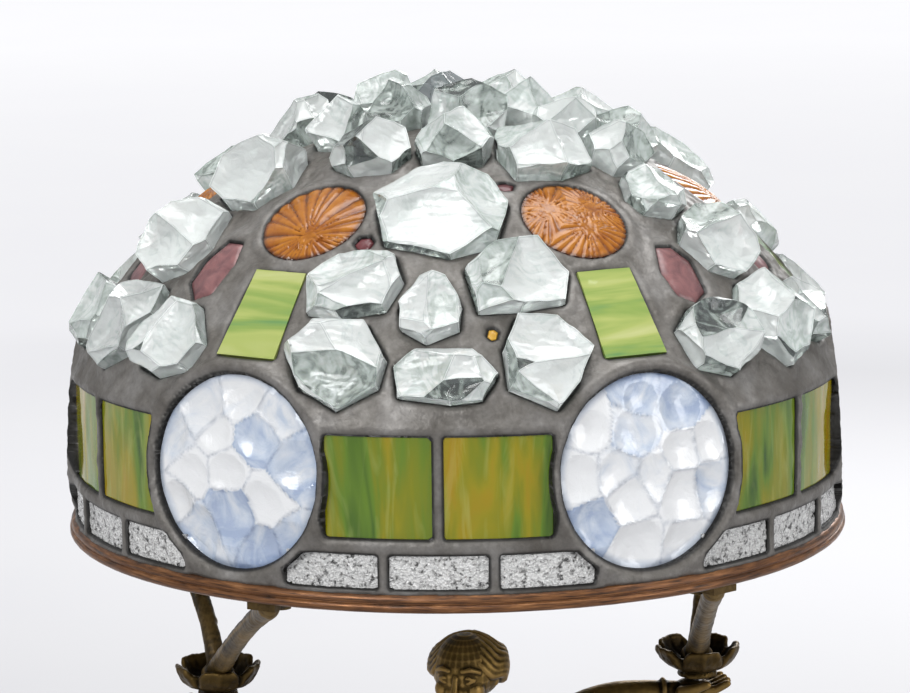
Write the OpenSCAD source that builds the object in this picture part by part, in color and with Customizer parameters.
// Table lamp: a leaded dome of rough glass chunks and coloured panes on a draped bronze figure.
// Millimetres. Origin on the floor under the middle of the base, +Z up, the figure faces -Y.
// Azimuth is measured round the lamp's axis from -Y towards +X; elevation is measured on the
// dome's own sphere, from its centre.

/* [Shade] */
// Outer radius of the metal rim ring
rim_r = 160; // [150:1:175]
// Height of the rim ring's underside above the floor
rim_z = 400; // [396:1:420]
// Height of the rim ring
rim_h = 7.5; // [6:0.5:9]
// Radius of the sphere that the dome's lead follows
dome_r = 175; // [170:1:185]
// Azimuth of the middle of the front field of stones
shade_turn = -8.6; // [-60:0.1:60]
// Thickness of the lead came
lead_t = 4; // [3:0.5:5]
// How far the largest stones stand out of the lead
stone_proud = 17; // [10:1:20]

/* [Panes] */
// Radius of the opalescent roundels
opal_r = 37.2; // [34:0.1:38]
// Radius of the amber rosettes
amber_r = 21; // [17:0.5:22]
// Thickness of the flat glass
pane_t = 3; // [2:0.5:4]

/* [Stand] */
// Azimuth of the two front rim rests, either side of the front
front_rest_az = 34; // [25:1:45]
// Azimuth of the two back rim rests, either side of the front
back_rest_az = 125; // [110:1:140]
// Distance of the calyx cups from the axis
calyx_x = 101; // [90:1:115]
// Radius of the plinth
plinth_r = 90; // [80:1:110]
// Height of the plinth's top
plinth_h = 38; // [34:1:44]
// Distance of the lamp holders from the axis
holder_x = 38; // [32:1:44]

/* [Hidden] */

// Colours
lead_grey = [0.42, 0.41, 0.39];
copper_brown = [0.48, 0.28, 0.14];
bronze = [0.33, 0.25, 0.14];
brass = [0.72, 0.58, 0.30];
steel = [0.55, 0.55, 0.56];
aqua_glass = [0.80, 0.90, 0.87, 0.6];
clear_glass = [0.88, 0.90, 0.88, 0.6];
green_glass = [0.50, 0.58, 0.15, 0.8];
opal_glass = [0.82, 0.87, 0.94, 0.9];
amber_glass = [0.82, 0.36, 0.05, 0.8];
purple_glass = [0.25, 0.12, 0.16, 0.9];
red_glass = [0.28, 0.06, 0.07, 0.9];

// Shade: band below, dome above, both concentric with the lamp's axis
units = 6;
unit_angle = 360 / units;
dome_z = rim_z - 7.5;
band_r = rim_r - 2.8;
band_top = 70;
pane_gap = 0.2;
clear_z = [rim_h + 0.8, 21.7];
green_z = [27.2, 66];
green_edge = 15.6;
came_half = 0.9;
clear_came = 7.5;
opal_z = 48;
opal_tilt = 4;
opal_t = 7;
opal_seat = 149.5;
collar_w = 3.4;
amber_el = 55.2;
side_el = [33.9, 46.3];
side_half = [13.2, 11.4];

// Stones of a unit: [azimuth, elevation, width, height, height above the lead, shape seed].
// Lists A are for even units, with the front one, B for odd ones and C for the one right of the front.
UPPER_A = [
    [0, 57.0, 50, 45, stone_proud, 1]
];
UPPER_B = [
    [1, 61.0, 40, 35, 21, 1]
];
UPPER_C = [
    [-3, 57.2, 31, 25, 12, 18],
    [3, 65.3, 33, 22, 20, 19]
];
SHOULDER_A = [
    [-14.6, 44.4, 31, 27, 12, 2],
    [-1.4, 41.2, 25, 27, 10, 3],
    [13.4, 45.4, 31, 27, 12, 4]
];
SHOULDER_B = [
    [0, 47.6, 34, 29, 19, 5]
];
FOOT_A = [
    [-14.6, 34.2, 34, 30, 10, 6],
    [1.0, 32.3, 37, 23, 9, 7],
    [15.5, 34.7, 28, 33, 10, 8]
];
FOOT_B = [
    [-14.9, 34.6, 33, 29, 13, 9],
    [0, 36.2, 35, 29, 16, 10],
    [14.9, 34.6, 33, 29, 13, 11]
];
// Rings of the crown: [stones, elevation, width, height, height above the lead, first azimuth, first seed]
CROWN = [
    [3, 68.9, 29, 27, 19, -36.1, 31],
    [3, 70.6, 28, 27, 20, -6.1, 34],
    [3, 69.3, 29, 28, 20, 23.9, 37],
    [3, 73.0, 28, 22, 21, 53.9, 40],
    [6, 80.9, 24, 22, 21, 4, 43],
    [1, 90, 25, 25, 20, 0, 50]
];
PURPLE = [
    [-13.8, 44.6, 19, 28, 2, 12],
    [13.8, 45.4, 18, 28, 2, 14]
];
RED = [
    [-15.6, 51.7, 8, 7, 1.5, 15],
    [16.6, 62.4, 8, 6, 1.5, 16]
];
CHIP = [
    [8.3, 38.0, 4.5, 5, 1.5, 17]
];

// Stand
rest_r = 151;
rest_t = 3;
rest_len = [137, 157];
rest_w = 12;
screw_at = 142;
screw_r = 2;
bore_gap = 0.1;
spider_t = 2.5;
spider_w = 12;
hub_r = 24;
bar_t = 3;
nipple_r = 5;
nipple_bore = 3.5;
nut_r = 8;
holder_base = rim_z + spider_t + bar_t;
key_z = holder_base + 22.5;
bulb_r = 22.5;
bulb_mid = holder_base + 79;
stem_r = 4.4;
calyx_floor = rim_z - 66.5;
calyx_foot = rim_z - 72;
neck_z = rim_z - 86;

// A repeatable number from 0 to 1 for each whole number
function noise(k) = let (v = 43.7585 * (1 + sin(k * 127.1 + 31.7))) v - floor(v);

// Outline of a stone's foot in the lead, as an uneven polygon w wide and h high
function outline(w, h, seed, sides = 7) = [
    for (k = [0 : sides - 1])
        let (a = 360 * (k + 0.35 * (noise(seed * 31 + k) - 0.5)) / sides + 12)
        let (s = 1 + 0.14 * (noise(seed * 17 + 3 * k) - 0.5))
        let (q = pow(pow(abs(cos(a)), 2.6) + pow(abs(sin(a)), 2.6), -1 / 2.6))
        [0.5 * w * s * q * cos(a), 0.5 * h * s * q * sin(a)]
];

// One ring of a stone: its outline scaled, lifted and leaned
function stone_ring(pts, s, z, lean, seed) = [
    for (k = [0 : len(pts) - 1])
        let (t = s * (1 + 0.16 * (noise(seed + 5 * k) - 0.5) * (z > 0.1 ? 1 : 0)))
        [pts[k][0] * t + lean[0], pts[k][1] * t + lean[1], z * (z > 4 ? 0.82 + 0.3 * noise(seed + k) : 1)]
];

// Side faces between the rings of a closed stack of rings of n points
function side_faces(rings, n) = [
    for (r = [0 : rings - 2], k = [0 : n - 1], half = [0, 1])
        let (a = r * n + k)
        let (b = r * n + (k + 1) % n)
        half == 0 ? [a, a + n, b] : [b, a + n, b + n]
];

module unit_place(unit) {
    rotate([0, 0, shade_turn + unit * unit_angle]) children();
}

// Puts +Z along the dome's outward direction and +X round the dome, at radius rho
module dome_place(az, el, rho = dome_r) {
    translate([0, 0, dome_z])
        rotate([0, 0, az])
            rotate([90 - el, 0, 0])
                translate([0, 0, rho])
                    children();
}

module opal_place(unit) {
    unit_place(unit + 0.5)
        translate([0, -opal_seat, rim_z + opal_z])
            rotate([90 - opal_tilt, 0, 0])
                children();
}

// A rough stone: a straight foot inside the lead, then broken faces up to a leaning top
module stone(w, h, proud, seed) {
    base = outline(w, h, seed);
    sides = len(base);
    lean = [0.10 * w * (noise(seed + 71) - 0.5), 0.12 * h * (noise(seed + 57) - 0.5)];
    points = concat(
        stone_ring(base, 0.86, -5, [0, 0], 0),
        stone_ring(base, 1, -3.5, [0, 0], 0),
        stone_ring(base, 1, 0, [0, 0], 0),
        stone_ring(base, 1.02, 0.42 * proud, lean * 0.4, seed + 11),
        stone_ring(base, 0.62, 0.88 * proud, lean, seed + 23),
        [[0, 0, -5], [lean[0], lean[1], proud]]
    );
    top = 5 * sides + 1;
    caps = [
        for (k = [0 : sides - 1], end = [0, 1])
            let (n = (k + 1) % sides)
            end == 0 ? [5 * sides, k, n] : [top, 4 * sides + n, 4 * sides + k]
    ];
    polyhedron(points, concat(side_faces(5, sides), caps));
}

// The hole that the stone's foot fills in the lead
module stone_hole(w, h, seed) {
    translate([0, 0, -14])
        linear_extrude(24)
            polygon(outline(w + 0.6, h + 0.6, seed));
}

// A flat jewel: the same uneven outline, bevelled to a low table
module jewel(w, h, proud, seed) {
    base = outline(w, h, seed, 6);
    translate([0, 0, -3.5]) linear_extrude(3.5 + proud * 0.5) polygon(base);
}

module jewel_hole(w, h, seed) {
    translate([0, 0, -14])
        linear_extrude(24)
            polygon(outline(w + 0.5, h + 0.5, seed, 6));
}

function upper_of(unit) = unit % 2 == 0 ? UPPER_A : unit == 1 ? UPPER_C : UPPER_B;

// Every stone in a list, on one unit of the dome
module stones_of(list, unit) {
    for (s = list)
        dome_place(shade_turn + unit * unit_angle + s[0], s[1])
            stone(s[2], s[3], s[4], s[5] + unit * 5);
}

module stone_holes_of(list, unit) {
    for (s = list)
        dome_place(shade_turn + unit * unit_angle + s[0], s[1])
            stone_hole(s[2], s[3], s[5] + unit * 5);
}

module jewels_of(list, unit) {
    for (s = list)
        dome_place(shade_turn + unit * unit_angle + s[0], s[1])
            jewel(s[2], s[3], s[4], s[5]);
}

module jewel_holes_of(list, unit) {
    for (s = list)
        dome_place(shade_turn + unit * unit_angle + s[0], s[1])
            jewel_hole(s[2], s[3], s[5]);
}

module ring_sector(r_in, r_out, z_low, z_high, a_low, a_high) {
    rotate([0, 0, a_low - 90])
        rotate_extrude(angle = a_high - a_low)
            translate([r_in, z_low])
                square([r_out - r_in, z_high - z_low]);
}

// The outline of a side pane, wider at its foot, grown by g on every side
module side_pane_outline(g) {
    rise = dome_r * (side_el[1] - side_el[0]) * PI / 180;
    polygon([
        [-side_half[0] - g, -0.5 * rise - g],
        [side_half[0] + g, -0.5 * rise - g],
        [side_half[1] + g, 0.5 * rise + g],
        [-side_half[1] - g, 0.5 * rise + g]
    ]);
}

module rim_ring() {
    color(copper_brown)
        translate([0, 0, rim_z])
            rotate_extrude($fn = 128)
                union() {
                    translate([151.5, 0]) square([rim_r - rim_h / 2 - 151.5, rim_h]);
                    translate([rim_r - rim_h / 2, rim_h / 2]) circle(rim_h / 2, $fn = 40);
                }
}

module band_windows(unit) {
    for (side = [-1, 1]) {
        low = side < 0 ? -green_edge : came_half;
        high = side < 0 ? -came_half : green_edge;
        ring_sector(140, 165, rim_z + green_z[0], rim_z + green_z[1], low, high);
        inner = clear_came + came_half;
        far = 21.5;
        ring_sector(140, 165, rim_z + clear_z[0], rim_z + clear_z[1],
                    side < 0 ? -far : inner, side < 0 ? -inner : far);
    }
    ring_sector(140, 165, rim_z + clear_z[0], rim_z + clear_z[1],
                -clear_came + came_half, clear_came - came_half);
}

module band_lead() {
    color(lead_grey)
        difference() {
            translate([0, 0, rim_z + rim_h])
                cylinder(h = band_top - rim_h, r = band_r, $fn = 128);
            translate([0, 0, rim_z + rim_h - 1])
                cylinder(h = band_top, r = band_r - lead_t, $fn = 128);
            for (unit = [0 : units - 1]) {
                unit_place(unit) band_windows(unit);
                opal_place(unit) translate([0, 0, -20]) cylinder(h = 50, r = opal_r + collar_w + 0.1, $fn = 64);
            }
        }
}

module roundel_collars() {
    color(lead_grey)
        for (unit = [0 : units - 1])
            opal_place(unit)
                difference() {
                    translate([0, 0, -3]) cylinder(h = 8, r = opal_r + collar_w, $fn = 64);
                    translate([0, 0, -4]) cylinder(h = 12, r = opal_r + 0.15, $fn = 64);
                }
}

module dome_lead() {
    color(lead_grey)
        difference() {
            translate([0, 0, dome_z]) sphere(dome_r, $fn = 128);
            translate([0, 0, dome_z]) sphere(dome_r - lead_t, $fn = 128);
            translate([0, 0, rim_z + band_top - 400]) cube([800, 800, 800.1], center = true);
            for (unit = [0 : units - 1]) {
                stone_holes_of(upper_of(unit), unit);
                stone_holes_of(unit % 2 == 0 ? SHOULDER_A : SHOULDER_B, unit);
                stone_holes_of(unit % 2 == 0 ? FOOT_A : FOOT_B, unit);
                jewel_holes_of(unit % 2 == 0 ? concat(RED, CHIP) : PURPLE, unit);
                opal_place(unit) translate([0, 0, -20]) cylinder(h = 50, r = opal_r + collar_w + 0.1, $fn = 64);
                dome_place(shade_turn + (unit + 0.5) * unit_angle, amber_el)
                    translate([0, 0, -14]) cylinder(h = 30, r = amber_r + 0.2, $fn = 48);
                dome_place(shade_turn + (unit + 0.5) * unit_angle, (side_el[0] + side_el[1]) / 2)
                    translate([0, 0, -14]) linear_extrude(30) side_pane_outline(0.2);
            }
            for (ring = CROWN, k = [0 : ring[0] - 1])
                dome_place(ring[5] + k * 360 / ring[0], ring[1]) stone_hole(ring[2], ring[3], ring[6] + k);
        }
}

module clear_rim_panes() {
    color(clear_glass)
        for (unit = [0 : units - 1])
            difference() {
                unit_place(unit) {
                    mid = clear_came - came_half - 0.08;
                    near = clear_came + came_half + 0.08;
                    far = 21.4;
                    z_low = rim_z + clear_z[0] + pane_gap;
                    z_high = rim_z + clear_z[1] - pane_gap;
                    ring_sector(band_r - 3.4, band_r - 0.6, z_low, z_high, -mid, mid);
                    ring_sector(band_r - 3.4, band_r - 0.6, z_low, z_high, -far, -near);
                    ring_sector(band_r - 3.4, band_r - 0.6, z_low, z_high, near, far);
                }
                for (side = [-1, 0])
                    opal_place(unit + side)
                        translate([0, 0, -20]) cylinder(h = 50, r = opal_r + collar_w + 0.3, $fn = 64);
            }
}

module green_band_panes() {
    color(green_glass)
        for (unit = [0 : units - 1])
            difference() {
                unit_place(unit)
                    for (side = [-1, 1])
                        ring_sector(band_r - 3.4, band_r - 0.8,
                                    rim_z + green_z[0] + pane_gap, rim_z + green_z[1] - pane_gap,
                                    side < 0 ? -green_edge + 0.08 : came_half + 0.08,
                                    side < 0 ? -came_half - 0.08 : green_edge - 0.08);
                for (side = [-1, 0])
                    opal_place(unit + side)
                        translate([0, 0, -20]) cylinder(h = 50, r = opal_r + collar_w + 0.3, $fn = 64);
            }
}

// A slightly domed roundel
module opal_roundels() {
    bow = 160;
    color(opal_glass)
        for (unit = [0 : units - 1])
            opal_place(unit)
                intersection() {
                    translate([0, 0, -2]) cylinder(h = 12, r = opal_r, $fn = 64);
                    translate([0, 0, opal_t - bow]) sphere(bow, $fn = 96);
                }
}

module green_dome_panes() {
    color(green_glass)
        for (unit = [0 : units - 1])
            dome_place(shade_turn + (unit + 0.5) * unit_angle, (side_el[0] + side_el[1]) / 2)
                translate([0, 0, -3.2]) linear_extrude(pane_t) side_pane_outline(-0.1);
}

module amber_rosettes() {
    bow = 70;
    color(amber_glass)
        for (unit = [0 : units - 1])
            dome_place(shade_turn + (unit + 0.5) * unit_angle, amber_el)
                intersection() {
                    translate([0, 0, -3.5]) cylinder(h = 9, r = amber_r, $fn = 48);
                    translate([0, 0, 2.6 - bow]) sphere(bow, $fn = 96);
                }
}

module amber_chips() {
    color(amber_glass)
        for (unit = [0 : 2 : units - 1])
            jewels_of(CHIP, unit);
}

module large_stones() {
    color(aqua_glass)
        for (unit = [0 : units - 1])
            stones_of(upper_of(unit), unit);
}

module shoulder_stones() {
    color(aqua_glass)
        for (unit = [0 : units - 1])
            stones_of(unit % 2 == 0 ? SHOULDER_A : SHOULDER_B, unit);
}

module foot_stones() {
    color(aqua_glass)
        for (unit = [0 : units - 1])
            stones_of(unit % 2 == 0 ? FOOT_A : FOOT_B, unit);
}

module crown_stones() {
    color(aqua_glass)
        for (ring = CROWN, k = [0 : ring[0] - 1])
            dome_place(ring[5] + k * 360 / ring[0], ring[1])
                stone(ring[2], ring[3], ring[4], ring[6] + k);
}

module purple_jewels() {
    color(purple_glass)
        for (unit = [1 : 2 : units - 1])
            jewels_of(PURPLE, unit);
}

module red_jewels() {
    color(red_glass)
        for (unit = [0 : 2 : units - 1])
            jewels_of(RED, unit);
}

REST_AZ = [-front_rest_az, front_rest_az, back_rest_az, -back_rest_az];

// A hexagonal nut of a given bore, standing on z = 0
module nut(r, h, bore) {
    difference() {
        cylinder(h = h, r = r, $fn = 6);
        translate([0, 0, -1]) cylinder(h = h + 2, r = bore, $fn = 32);
    }
}

// Small flat tongues on the stems' tops that the rim ring stands on
module rim_rests() {
    color(bronze)
        for (az = REST_AZ)
            rotate([0, 0, az])
                difference() {
                    translate([-rest_w / 2, -rest_len[1], rim_z - rest_t])
                        cube([rest_w, rest_len[1] - rest_len[0], rest_t]);
                    translate([0, -screw_at, rim_z - rest_t - 1])
                        cylinder(h = rest_t + 2, r = screw_r + bore_gap, $fn = 32);
                }
}

module rest_screws() {
    color(brass)
        for (az = REST_AZ)
            rotate([0, 0, az])
                translate([0, -screw_at, 0]) {
                    translate([0, 0, rim_z - rest_t - 2.4]) cylinder(h = 2.4, r = 3.6, $fn = 32);
                    translate([0, 0, rim_z - rest_t]) cylinder(h = rest_t + spider_t + 5, r = screw_r, $fn = 32);
                }
}

module rest_nuts() {
    color(brass)
        for (az = REST_AZ)
            rotate([0, 0, az])
                translate([0, -screw_at, rim_z + spider_t])
                    nut(4, 3, screw_r + 0.05);
}

module shade_spider() {
    color(brass)
        difference() {
            union() {
                translate([0, 0, rim_z]) cylinder(h = spider_t, r = hub_r, $fn = 64);
                for (az = REST_AZ)
                    rotate([0, 0, az])
                        translate([-spider_w / 2, -150, rim_z]) cube([spider_w, 150, spider_t]);
            }
            translate([0, 0, rim_z - 1]) cylinder(h = spider_t + 2, r = nipple_r + bore_gap, $fn = 32);
            for (az = REST_AZ)
                rotate([0, 0, az])
                    translate([0, -screw_at, rim_z - 1])
                        cylinder(h = spider_t + 2, r = screw_r + bore_gap, $fn = 32);
        }
}

module holder_bar() {
    color(brass)
        translate([0, 0, rim_z + spider_t])
            difference() {
                translate([-holder_x - 12, -8, 0]) cube([2 * holder_x + 24, 16, bar_t]);
                for (x = [-holder_x, 0, holder_x])
                    translate([x, 0, -1]) cylinder(h = bar_t + 2, r = nipple_r + bore_gap, $fn = 32);
            }
}

module nipple(z_low, z_high) {
    translate([0, 0, z_low])
        difference() {
            cylinder(h = z_high - z_low, r = nipple_r, $fn = 32);
            translate([0, 0, -1]) cylinder(h = z_high - z_low + 2, r = nipple_bore, $fn = 32);
        }
}

module hub_nipple() {
    color(brass) nipple(rim_z - 7, holder_base + 8);
}

module hub_nuts() {
    color(brass) {
        translate([0, 0, rim_z - 5]) nut(nut_r, 5, nipple_r + 0.05);
        translate([0, 0, holder_base]) nut(nut_r, 5, nipple_r + 0.05);
    }
}

module at_holders() {
    for (side = [-1, 1])
        translate([side * holder_x, 0, 0])
            mirror([side < 0 ? 1 : 0, 0, 0])
                children();
}

module holder_nipples() {
    color(brass) at_holders() nipple(rim_z - 3, holder_base + 10);
}

module holder_nuts() {
    color(brass)
        at_holders()
            translate([0, 0, rim_z + spider_t - 4.5]) nut(nut_r, 4.5, nipple_r + 0.05);
}

// Bell-shaped cap of a lamp holder, open at the top
module holder_caps() {
    color(brass)
        at_holders()
            translate([0, 0, holder_base])
                rotate_extrude($fn = 64)
                    polygon([
                        [nipple_r + 0.05, 0], [9, 0], [9.5, 3], [15.5, 8], [17.2, 11], [17.2, 17],
                        [16.3, 17], [16.3, 11.4], [14.8, 9], [8.7, 4], [nipple_r + 0.05, 4]
                    ]);
}

module holder_insulators() {
    color([0.92, 0.90, 0.84])
        at_holders()
            difference() {
                translate([0, 0, holder_base + 12]) cylinder(h = 18, r = 14.6, $fn = 48);
                translate([0, 0, key_z])
                    rotate([0, 90, 0]) cylinder(h = 30, r = 2.15, $fn = 32);
                translate([0, 0, holder_base + 11]) cylinder(h = 4, r = 6, $fn = 32);
            }
}

module holder_shells() {
    color(brass)
        at_holders()
            difference() {
                translate([0, 0, holder_base + 12.5]) cylinder(h = 36, r = 16.1, $fn = 64);
                translate([0, 0, holder_base + 11.5]) cylinder(h = 38, r = 15.2, $fn = 64);
                translate([0, 0, key_z])
                    rotate([0, 90, 0]) cylinder(h = 30, r = 3, $fn = 32);
            }
}

module holder_screw_shells() {
    color(brass)
        at_holders()
            translate([0, 0, holder_base + 30])
                difference() {
                    cylinder(h = 17, r = 14.6, $fn = 48);
                    translate([0, 0, -1]) cylinder(h = 19, r = 14, $fn = 48);
                }
}

// Screw base of a bulb, with its threads as rounded rings and a centre contact
module bulb_bases() {
    base_z = holder_base + 32;
    color(steel)
        at_holders()
            translate([0, 0, base_z])
                rotate_extrude($fn = 48)
                    union() {
                        translate([0, 0]) square([12.6, 22]);
                        for (turn = [0 : 4])
                            translate([12.3, 4 + turn * 3.4]) circle(1.1, $fn = 16);
                        translate([0, -1.5]) square([4, 2]);
                    }
}

// Thin glass envelope, open at the neck where the base closes it
module bulb_globes() {
    neck_low = holder_base + 54.1;
    color([0.95, 0.95, 0.92, 0.4])
        at_holders()
            rotate_extrude($fn = 64)
                intersection() {
                    translate([0, neck_low]) square([40, 80]);
                    difference() {
                        union() {
                            translate([0, bulb_mid]) circle(bulb_r, $fn = 72);
                            translate([0, neck_low]) square([12.5, 12]);
                        }
                        translate([0, bulb_mid]) circle(bulb_r - 1, $fn = 72);
                        translate([-1, neck_low - 1]) square([12.5, 14]);
                    }
                }
}

module bulb_filaments() {
    color(steel)
        at_holders() {
            translate([0, 0, holder_base + 54.1]) cylinder(h = 14, r = 3.5, $fn = 24);
            for (side = [-1, 1])
                translate([side * 2.2, 0, holder_base + 68.1])
                    rotate([0, side * 24, 0]) cylinder(h = 16, r = 0.5, $fn = 16);
        }
}

// Turn key: a shaft in the insulator with a flat thumb piece outside
module key_piece() {
    translate([0, 0, key_z]) {
        translate([2, 0, 0]) rotate([0, 90, 0]) cylinder(h = 20, r = 2.08, $fn = 32);
        translate([20, 0, 0]) rotate([0, 90, 0]) cylinder(h = 3, r = 3.4, $fn = 32);
        translate([22, -1.3, -6]) cube([10, 2.6, 12]);
    }
}

module left_key() {
    color([0.15, 0.12, 0.1]) translate([-holder_x, 0, 0]) mirror([1, 0, 0]) key_piece();
}

module right_key() {
    color([0.15, 0.12, 0.1]) translate([holder_x, 0, 0]) key_piece();
}

// A round bar that follows a list of points, with a radius at each
module round_bar(points, radii, detail = 14) {
    for (k = [0 : len(points) - 2])
        hull() {
            translate(points[k]) sphere(radii[k], $fn = detail);
            translate(points[k + 1]) sphere(radii[k + 1], $fn = detail);
        }
}

// Points of a quadratic curve from a to c that leaves towards b
function curve(a, b, c, steps) = [
    for (i = [0 : steps])
        let (t = i / steps)
        (1 - t) * (1 - t) * a + 2 * t * (1 - t) * b + t * t * c
];

function rest_point(az) = [rest_r * sin(az), -rest_r * cos(az), rim_z - rest_t];

// One branch, from the calyx's floor up to its rest; the cut leaves a flat top under the tongue
module branch(side, az) {
    foot = [side * calyx_x, 0, calyx_floor + stem_r];
    tip = rest_point(az);
    to_front = abs(az) < 90;
    bend = to_front ? foot + 0.42 * (tip - foot) + [0, 0, 6] : foot + [side * 3, 0, 34];
    path = curve(foot, bend, tip, 9);
    radii = [for (i = [0 : 9]) stem_r * (1.25 - 0.25 * min(1, i / 3))];
    color(bronze)
        difference() {
            round_bar(path, radii);
            translate([-300, -300, rim_z - rest_t]) cube([600, 600, 20]);
            translate([side * calyx_x - 30, -30, calyx_floor - 20]) cube([60, 60, 20]);
            translate([side * calyx_x, 0, calyx_floor - 1]) cylinder(h = 5, r = 3.2, $fn = 32);
            rotate([0, 0, az])
                translate([0, -screw_at, rim_z - rest_t - 2.6]) cylinder(h = 10, r = 3.9, $fn = 32);
        }
}

module left_front_stem() { branch(-1, -front_rest_az); }
module left_back_stem() { branch(-1, -back_rest_az); }
module right_front_stem() { branch(1, front_rest_az); }
module right_back_stem() { branch(1, back_rest_az); }

// A flower-like cup with five lobes round its edge and a pierced floor
module calyx() {
    lobes = 5;
    top = calyx_foot + 13.4;
    difference() {
        translate([0, 0, calyx_foot])
            rotate_extrude($fn = 72)
                polygon([
                    [0, 0], [8, 0], [8.6, 1.6], [7.4, 3], [11, 4.6], [14.6, 7], [16.8, 10.4], [17.6, 13.4],
                    [15, 13.4], [14.2, 10.6], [12, 7.8], [9, 6], [8, calyx_floor - calyx_foot],
                    [0, calyx_floor - calyx_foot]
                ]);
        for (k = [0 : lobes - 1])
            rotate([0, 0, k * 360 / lobes + 18])
                translate([0, -20, top + 2.4])
                    rotate([90, 0, 0]) cylinder(h = 20, r = 5.2, center = true, $fn = 40);
        translate([0, 0, calyx_foot - 1]) cylinder(h = 12, r = 3.1, $fn = 32);
    }
}

module left_calyx() { color(bronze) translate([-calyx_x, 0, 0]) calyx(); }
module right_calyx() { color(bronze) translate([calyx_x, 0, 0]) calyx(); }

module calyx_dowels() {
    color(steel)
        for (side = [-1, 1])
            translate([side * calyx_x, 0, calyx_foot - 6])
                cylinder(h = calyx_floor - calyx_foot + 9, r = 3, $fn = 32);
}

// Arm held out to the side, elbow low, palm up under the calyx
module arm(side) {
    path = [
        [side * 25.5, 2, neck_z - 19.5], [side * 35, 1, neck_z - 10], [side * 45, 0, neck_z - 0.5],
        [side * 55, 0, neck_z + 4.6], [side * 68, 0, neck_z + 6.8], [side * 82, 0, neck_z + 7.8],
        [side * 92, 0, neck_z + 8], [side * 102, 0, neck_z + 8.2]
    ];
    radii = [7.4, 7.0, 6.5, 6.0, 5.6, 4.8, 4.9, 5.2];
    finger_tip = [side * 113, 0, calyx_foot - 4];
    color(bronze)
        difference() {
            union() {
                round_bar(path, radii);
                for (finger = [-1.5 : 1 : 1.5])
                    hull() {
                        translate([side * 101, finger * 4, calyx_foot - 3.4]) sphere(2.6, $fn = 12);
                        translate(finger_tip + [-abs(finger) * side, finger * 5, 0]) sphere(2, $fn = 12);
                    }
            }
            translate([side * 101 - 40, -30, calyx_foot]) cube([80, 60, 20]);
            translate([side * calyx_x, 0, calyx_foot - 6.3]) cylinder(h = 10, r = 3.3, $fn = 32);
            translate([-24.4, -30, neck_z - 60]) cube([48.8, 60, 90]);
        }
}

module left_arm() { arm(-1); }
module right_arm() { arm(1); }

// A closed stack of oval rings: each [centre x, centre y, z, half width, half depth]
module oval_stack(rings, n = 24) {
    points = [
        for (r = rings, k = [0 : n - 1])
            [r[0] + r[3] * cos(360 * k / n), r[1] + r[4] * sin(360 * k / n), r[2]]
    ];
    count = len(rings);
    ends = [[for (k = [0 : n - 1]) k], [for (k = [n - 1 : -1 : 0]) (count - 1) * n + k]];
    polyhedron(points, concat(ends, side_faces(count, n)));
}

head_x = 3;
head_y = -6;
head_top = rim_z - 46;

module head() {
    skull = [
        [0, -1, neck_z + 0.1, 7.6, 8], [0.6, -2, neck_z + 3, 7.6, 8.4],
        [1.6, -5, neck_z + 6, 9.6, 12.4], [2.4, -6, neck_z + 12, 12.6, 15.6],
        [head_x, head_y, neck_z + 20, 14.2, 17], [head_x, head_y, neck_z + 27, 14, 16.6],
        [head_x, head_y + 0.5, neck_z + 33, 11.6, 13.6], [head_x, head_y + 1, neck_z + 36.6, 6, 7.6]
    ];
    color(bronze) oval_stack(skull);
}

// Hair drawn back from a middle parting into a knot, as a cap round the skull
module hair() {
    color(bronze * 0.9)
        difference() {
            union() {
                hull() {
                    translate([head_x, head_y + 3, head_top - 18.5]) sphere(17.8, $fn = 24);
                    translate([head_x, head_y + 8, head_top - 24]) sphere(16, $fn = 24);
                }
                for (side = [-1, 1], k = [0 : 2])
                    hull() {
                        translate([head_x + side * 4, head_y - 9, head_top - 6.6]) sphere(5, $fn = 12);
                        translate([head_x + side * (13.2 + k * 0.6), head_y + k * 5 - 5, head_top - 16 - k * 4])
                            sphere(4.2, $fn = 12);
                    }
                hull() {
                    translate([head_x + 1, head_y + 19, head_top - 20]) sphere(8, $fn = 16);
                    translate([head_x + 1, head_y + 23, head_top - 25]) sphere(7, $fn = 16);
                }
            }
            translate([head_x - 30, head_y - 40, head_top - 60]) cube([60, 80, 24]);
            translate([head_x, head_y - 17, head_top - 31]) rotate([14, 0, 0]) cylinder(h = 26, r = 10.5, $fn = 32);
            oval_stack([
                [0, -1, neck_z - 1, 7.9, 8.3], [0.6, -2, neck_z + 3, 7.9, 8.7],
                [1.6, -5, neck_z + 6, 9.9, 12.7], [2.4, -6, neck_z + 12, 12.9, 15.9],
                [head_x, head_y, neck_z + 20, 14.5, 17.3], [head_x, head_y, neck_z + 27, 14.3, 16.9],
                [head_x, head_y + 0.5, neck_z + 33, 11.9, 13.9], [head_x, head_y + 1, neck_z + 36.9, 6.3, 7.9]
            ]);
        }
}

// Sections of the figure from hem to neck: [z, half width, half depth, centre y, fold depth]
GOWN = [
    [plinth_h, 50, 45, 0, 2.6], [plinth_h + 6, 49, 43, 0, 3], [plinth_h + 30, 40, 35, 0, 3],
    [plinth_h + 70, 32, 28, 0, 2.4], [plinth_h + 110, 29.5, 25.5, 0, 1.8],
    [plinth_h + 145, 29, 24.5, 1, 1.2], [plinth_h + 168, 26, 21.5, 1, 0.8],
    [plinth_h + 192, 20, 16.5, 1, 0.5], [plinth_h + 212, 20.5, 17, 0, 0.4],
    [plinth_h + 232, 24, 18.6, -1, 0.3], [plinth_h + 248, 24.2, 15.8, 0, 0.2],
    [plinth_h + 258, 22.5, 12.6, 1, 0], [plinth_h + 265, 14, 9.6, 1, 0],
    [plinth_h + 270, 8.6, 8.4, 0, 0], [neck_z, 7.6, 8, -1, 0]
];
gown_n = 48;
gown_wall = 3;
gown_folds = 11;

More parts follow.
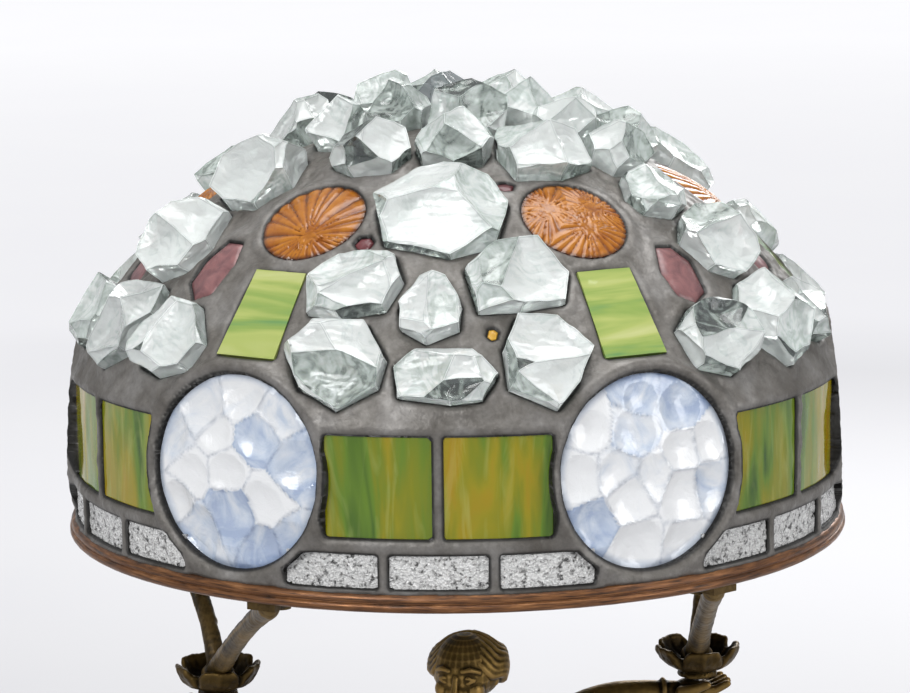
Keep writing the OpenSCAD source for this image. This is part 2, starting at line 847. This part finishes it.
function gown_ring(s, inset) = [
    for (k = [0 : gown_n - 1])
        let (a = 360 * k / gown_n)
        let (fold = s[4] * (sin(gown_folds * a) + 0.5 * sin(5 * a + 40)))
        let (rx = s[1] - inset + (inset > 0 ? 0 : fold))
        let (ry = s[2] - inset + (inset > 0 ? 0 : fold))
        [rx * cos(a), s[3] + ry * sin(a), s[0]]
];

// The gown is a hollow casting, open at the hem and the neck, with a ledge inside the hem
module gown() {
    count = len(GOWN);
    ledge = 5;
    outer = [for (i = [0 : count - 1]) gown_ring(GOWN[i], 0)];
    inner_top = [for (i = [count - 1 : -1 : 2]) gown_ring(GOWN[i], gown_wall + GOWN[i][4] * 1.5)];
    hem = GOWN[1];
    step = [
        gown_ring([plinth_h + ledge, hem[1], hem[2], 0, 0], 10),
        gown_ring([plinth_h + ledge, hem[1], hem[2], 0, 0], 18),
        gown_ring([plinth_h, hem[1], hem[2], 0, 0], 18)
    ];
    rings = concat(outer, inner_top, step);
    points = [for (r = rings, p = r) p];
    total = len(rings);
    n = gown_n;
    faces = [
        for (r = [0 : total - 1], k = [0 : n - 1], half = [0, 1])
            let (up = (r + 1) % total)
            let (a = r * n + k)
            let (b = r * n + (k + 1) % n)
            let (c = up * n + k)
            let (d = up * n + (k + 1) % n)
            half == 0 ? [a, c, b] : [b, c, d]
    ];
    color(bronze) polyhedron(points, faces);
}

clamp_z = plinth_h + 5;
rod_r = 5;

module clamp_plate() {
    color(steel)
        difference() {
            translate([0, 0, clamp_z]) cylinder(h = 3, r = 30, $fn = 48);
            translate([0, 0, clamp_z - 1]) cylinder(h = 5, r = rod_r + bore_gap, $fn = 32);
        }
}

module tie_rod() {
    color(steel)
        translate([0, 0, 3.4])
            difference() {
                cylinder(h = clamp_z + 12 - 3.4, r = rod_r, $fn = 32);
                translate([0, 0, -1]) cylinder(h = 80, r = 3.2, $fn = 32);
            }
}

module rod_washers() {
    color(steel)
        for (z = [clamp_z + 3, 8.5])
            translate([0, 0, z])
                difference() {
                    cylinder(h = 1.5, r = 11, $fn = 40);
                    translate([0, 0, -1]) cylinder(h = 4, r = rod_r + bore_gap, $fn = 32);
                }
}

module rod_nuts() {
    color(steel) {
        translate([0, 0, clamp_z + 4.5]) nut(9, 5.5, rod_r + 0.05);
        translate([0, 0, 3.5]) nut(9, 5, rod_r + 0.05);
    }
}

inlet_z = 15;
inlet_face = plinth_r - 4;
bush_r = 4.8;
bush_bore = 3.4;

// Round moulded base, hollow underneath
module plinth() {
    r = plinth_r;
    color(bronze)
        difference() {
            rotate_extrude($fn = 128)
                polygon([
                    [0, 26], [r - 20, 26], [r - 13, 20], [r - 13, 2], [r, 2], [r, 5], [r - 1.2, 6.6],
                    [r - 3.2, 7.4], [inlet_face, 9], [inlet_face, 21], [r - 5.4, 23], [r - 9, 25.4],
                    [r - 14, 28], [r - 19, 30], [r - 20, 31.5], [r - 20, 33.5], [r - 22, 35],
                    [r - 27, plinth_h - 0.8], [r - 32, plinth_h], [0, plinth_h]
                ]);
            translate([0, 0, 20]) cylinder(h = 30, r = rod_r + bore_gap, $fn = 32);
            translate([0, 60, inlet_z]) rotate([-90, 0, 0]) cylinder(h = 60, r = bush_r + bore_gap, $fn = 40);
        }
}

// Cast ring that keeps the lamp steady, with a slot for the lead to the middle
module base_weight() {
    color([0.2, 0.2, 0.2])
        difference() {
            union() {
                translate([0, 0, 10]) cylinder(h = 9.8, r = plinth_r - 13.5, $fn = 96);
                translate([0, 0, 19]) cylinder(h = 6.8, r = plinth_r - 21, $fn = 96);
            }
            translate([0, 0, 9]) cylinder(h = 20, r = rod_r + 1.2, $fn = 32);
            translate([-7, 0, 9]) cube([14, plinth_r, 12]);
        }
}

module felt_pad() {
    color([0.12, 0.22, 0.14]) cylinder(h = 2, r = plinth_r - 1.5, $fn = 96);
}

// Flanged bush in the back of the plinth where a mains lead would enter
module inlet_bush() {
    color([0.1, 0.09, 0.08])
        translate([0, 0, inlet_z])
            rotate([-90, 0, 0])
                difference() {
                    union() {
                        translate([0, 0, plinth_r - 13]) cylinder(h = 10, r = bush_r, $fn = 40);
                        translate([0, 0, inlet_face + 0.05]) cylinder(h = 2.5, r = 5.9, $fn = 40);
                    }
                    translate([0, 0, plinth_r - 14]) cylinder(h = 20, r = bush_bore, $fn = 32);
                }
}

rim_ring();
band_lead();
roundel_collars();
dome_lead();
clear_rim_panes();
green_band_panes();
opal_roundels();
green_dome_panes();
amber_rosettes();
amber_chips();
large_stones();
shoulder_stones();
foot_stones();
crown_stones();
purple_jewels();
red_jewels();
rim_rests();
rest_screws();
rest_nuts();
shade_spider();
holder_bar();
hub_nipple();
hub_nuts();
holder_nipples();
holder_nuts();
holder_caps();
holder_insulators();
holder_shells();
holder_screw_shells();
bulb_bases();
bulb_globes();
bulb_filaments();
left_key();
right_key();
left_front_stem();
left_back_stem();
right_front_stem();
right_back_stem();
left_calyx();
right_calyx();
calyx_dowels();
left_arm();
right_arm();
head();
hair();
gown();
clamp_plate();
tie_rod();
rod_nuts();
rod_washers();
plinth();
base_weight();
felt_pad();
inlet_bush();
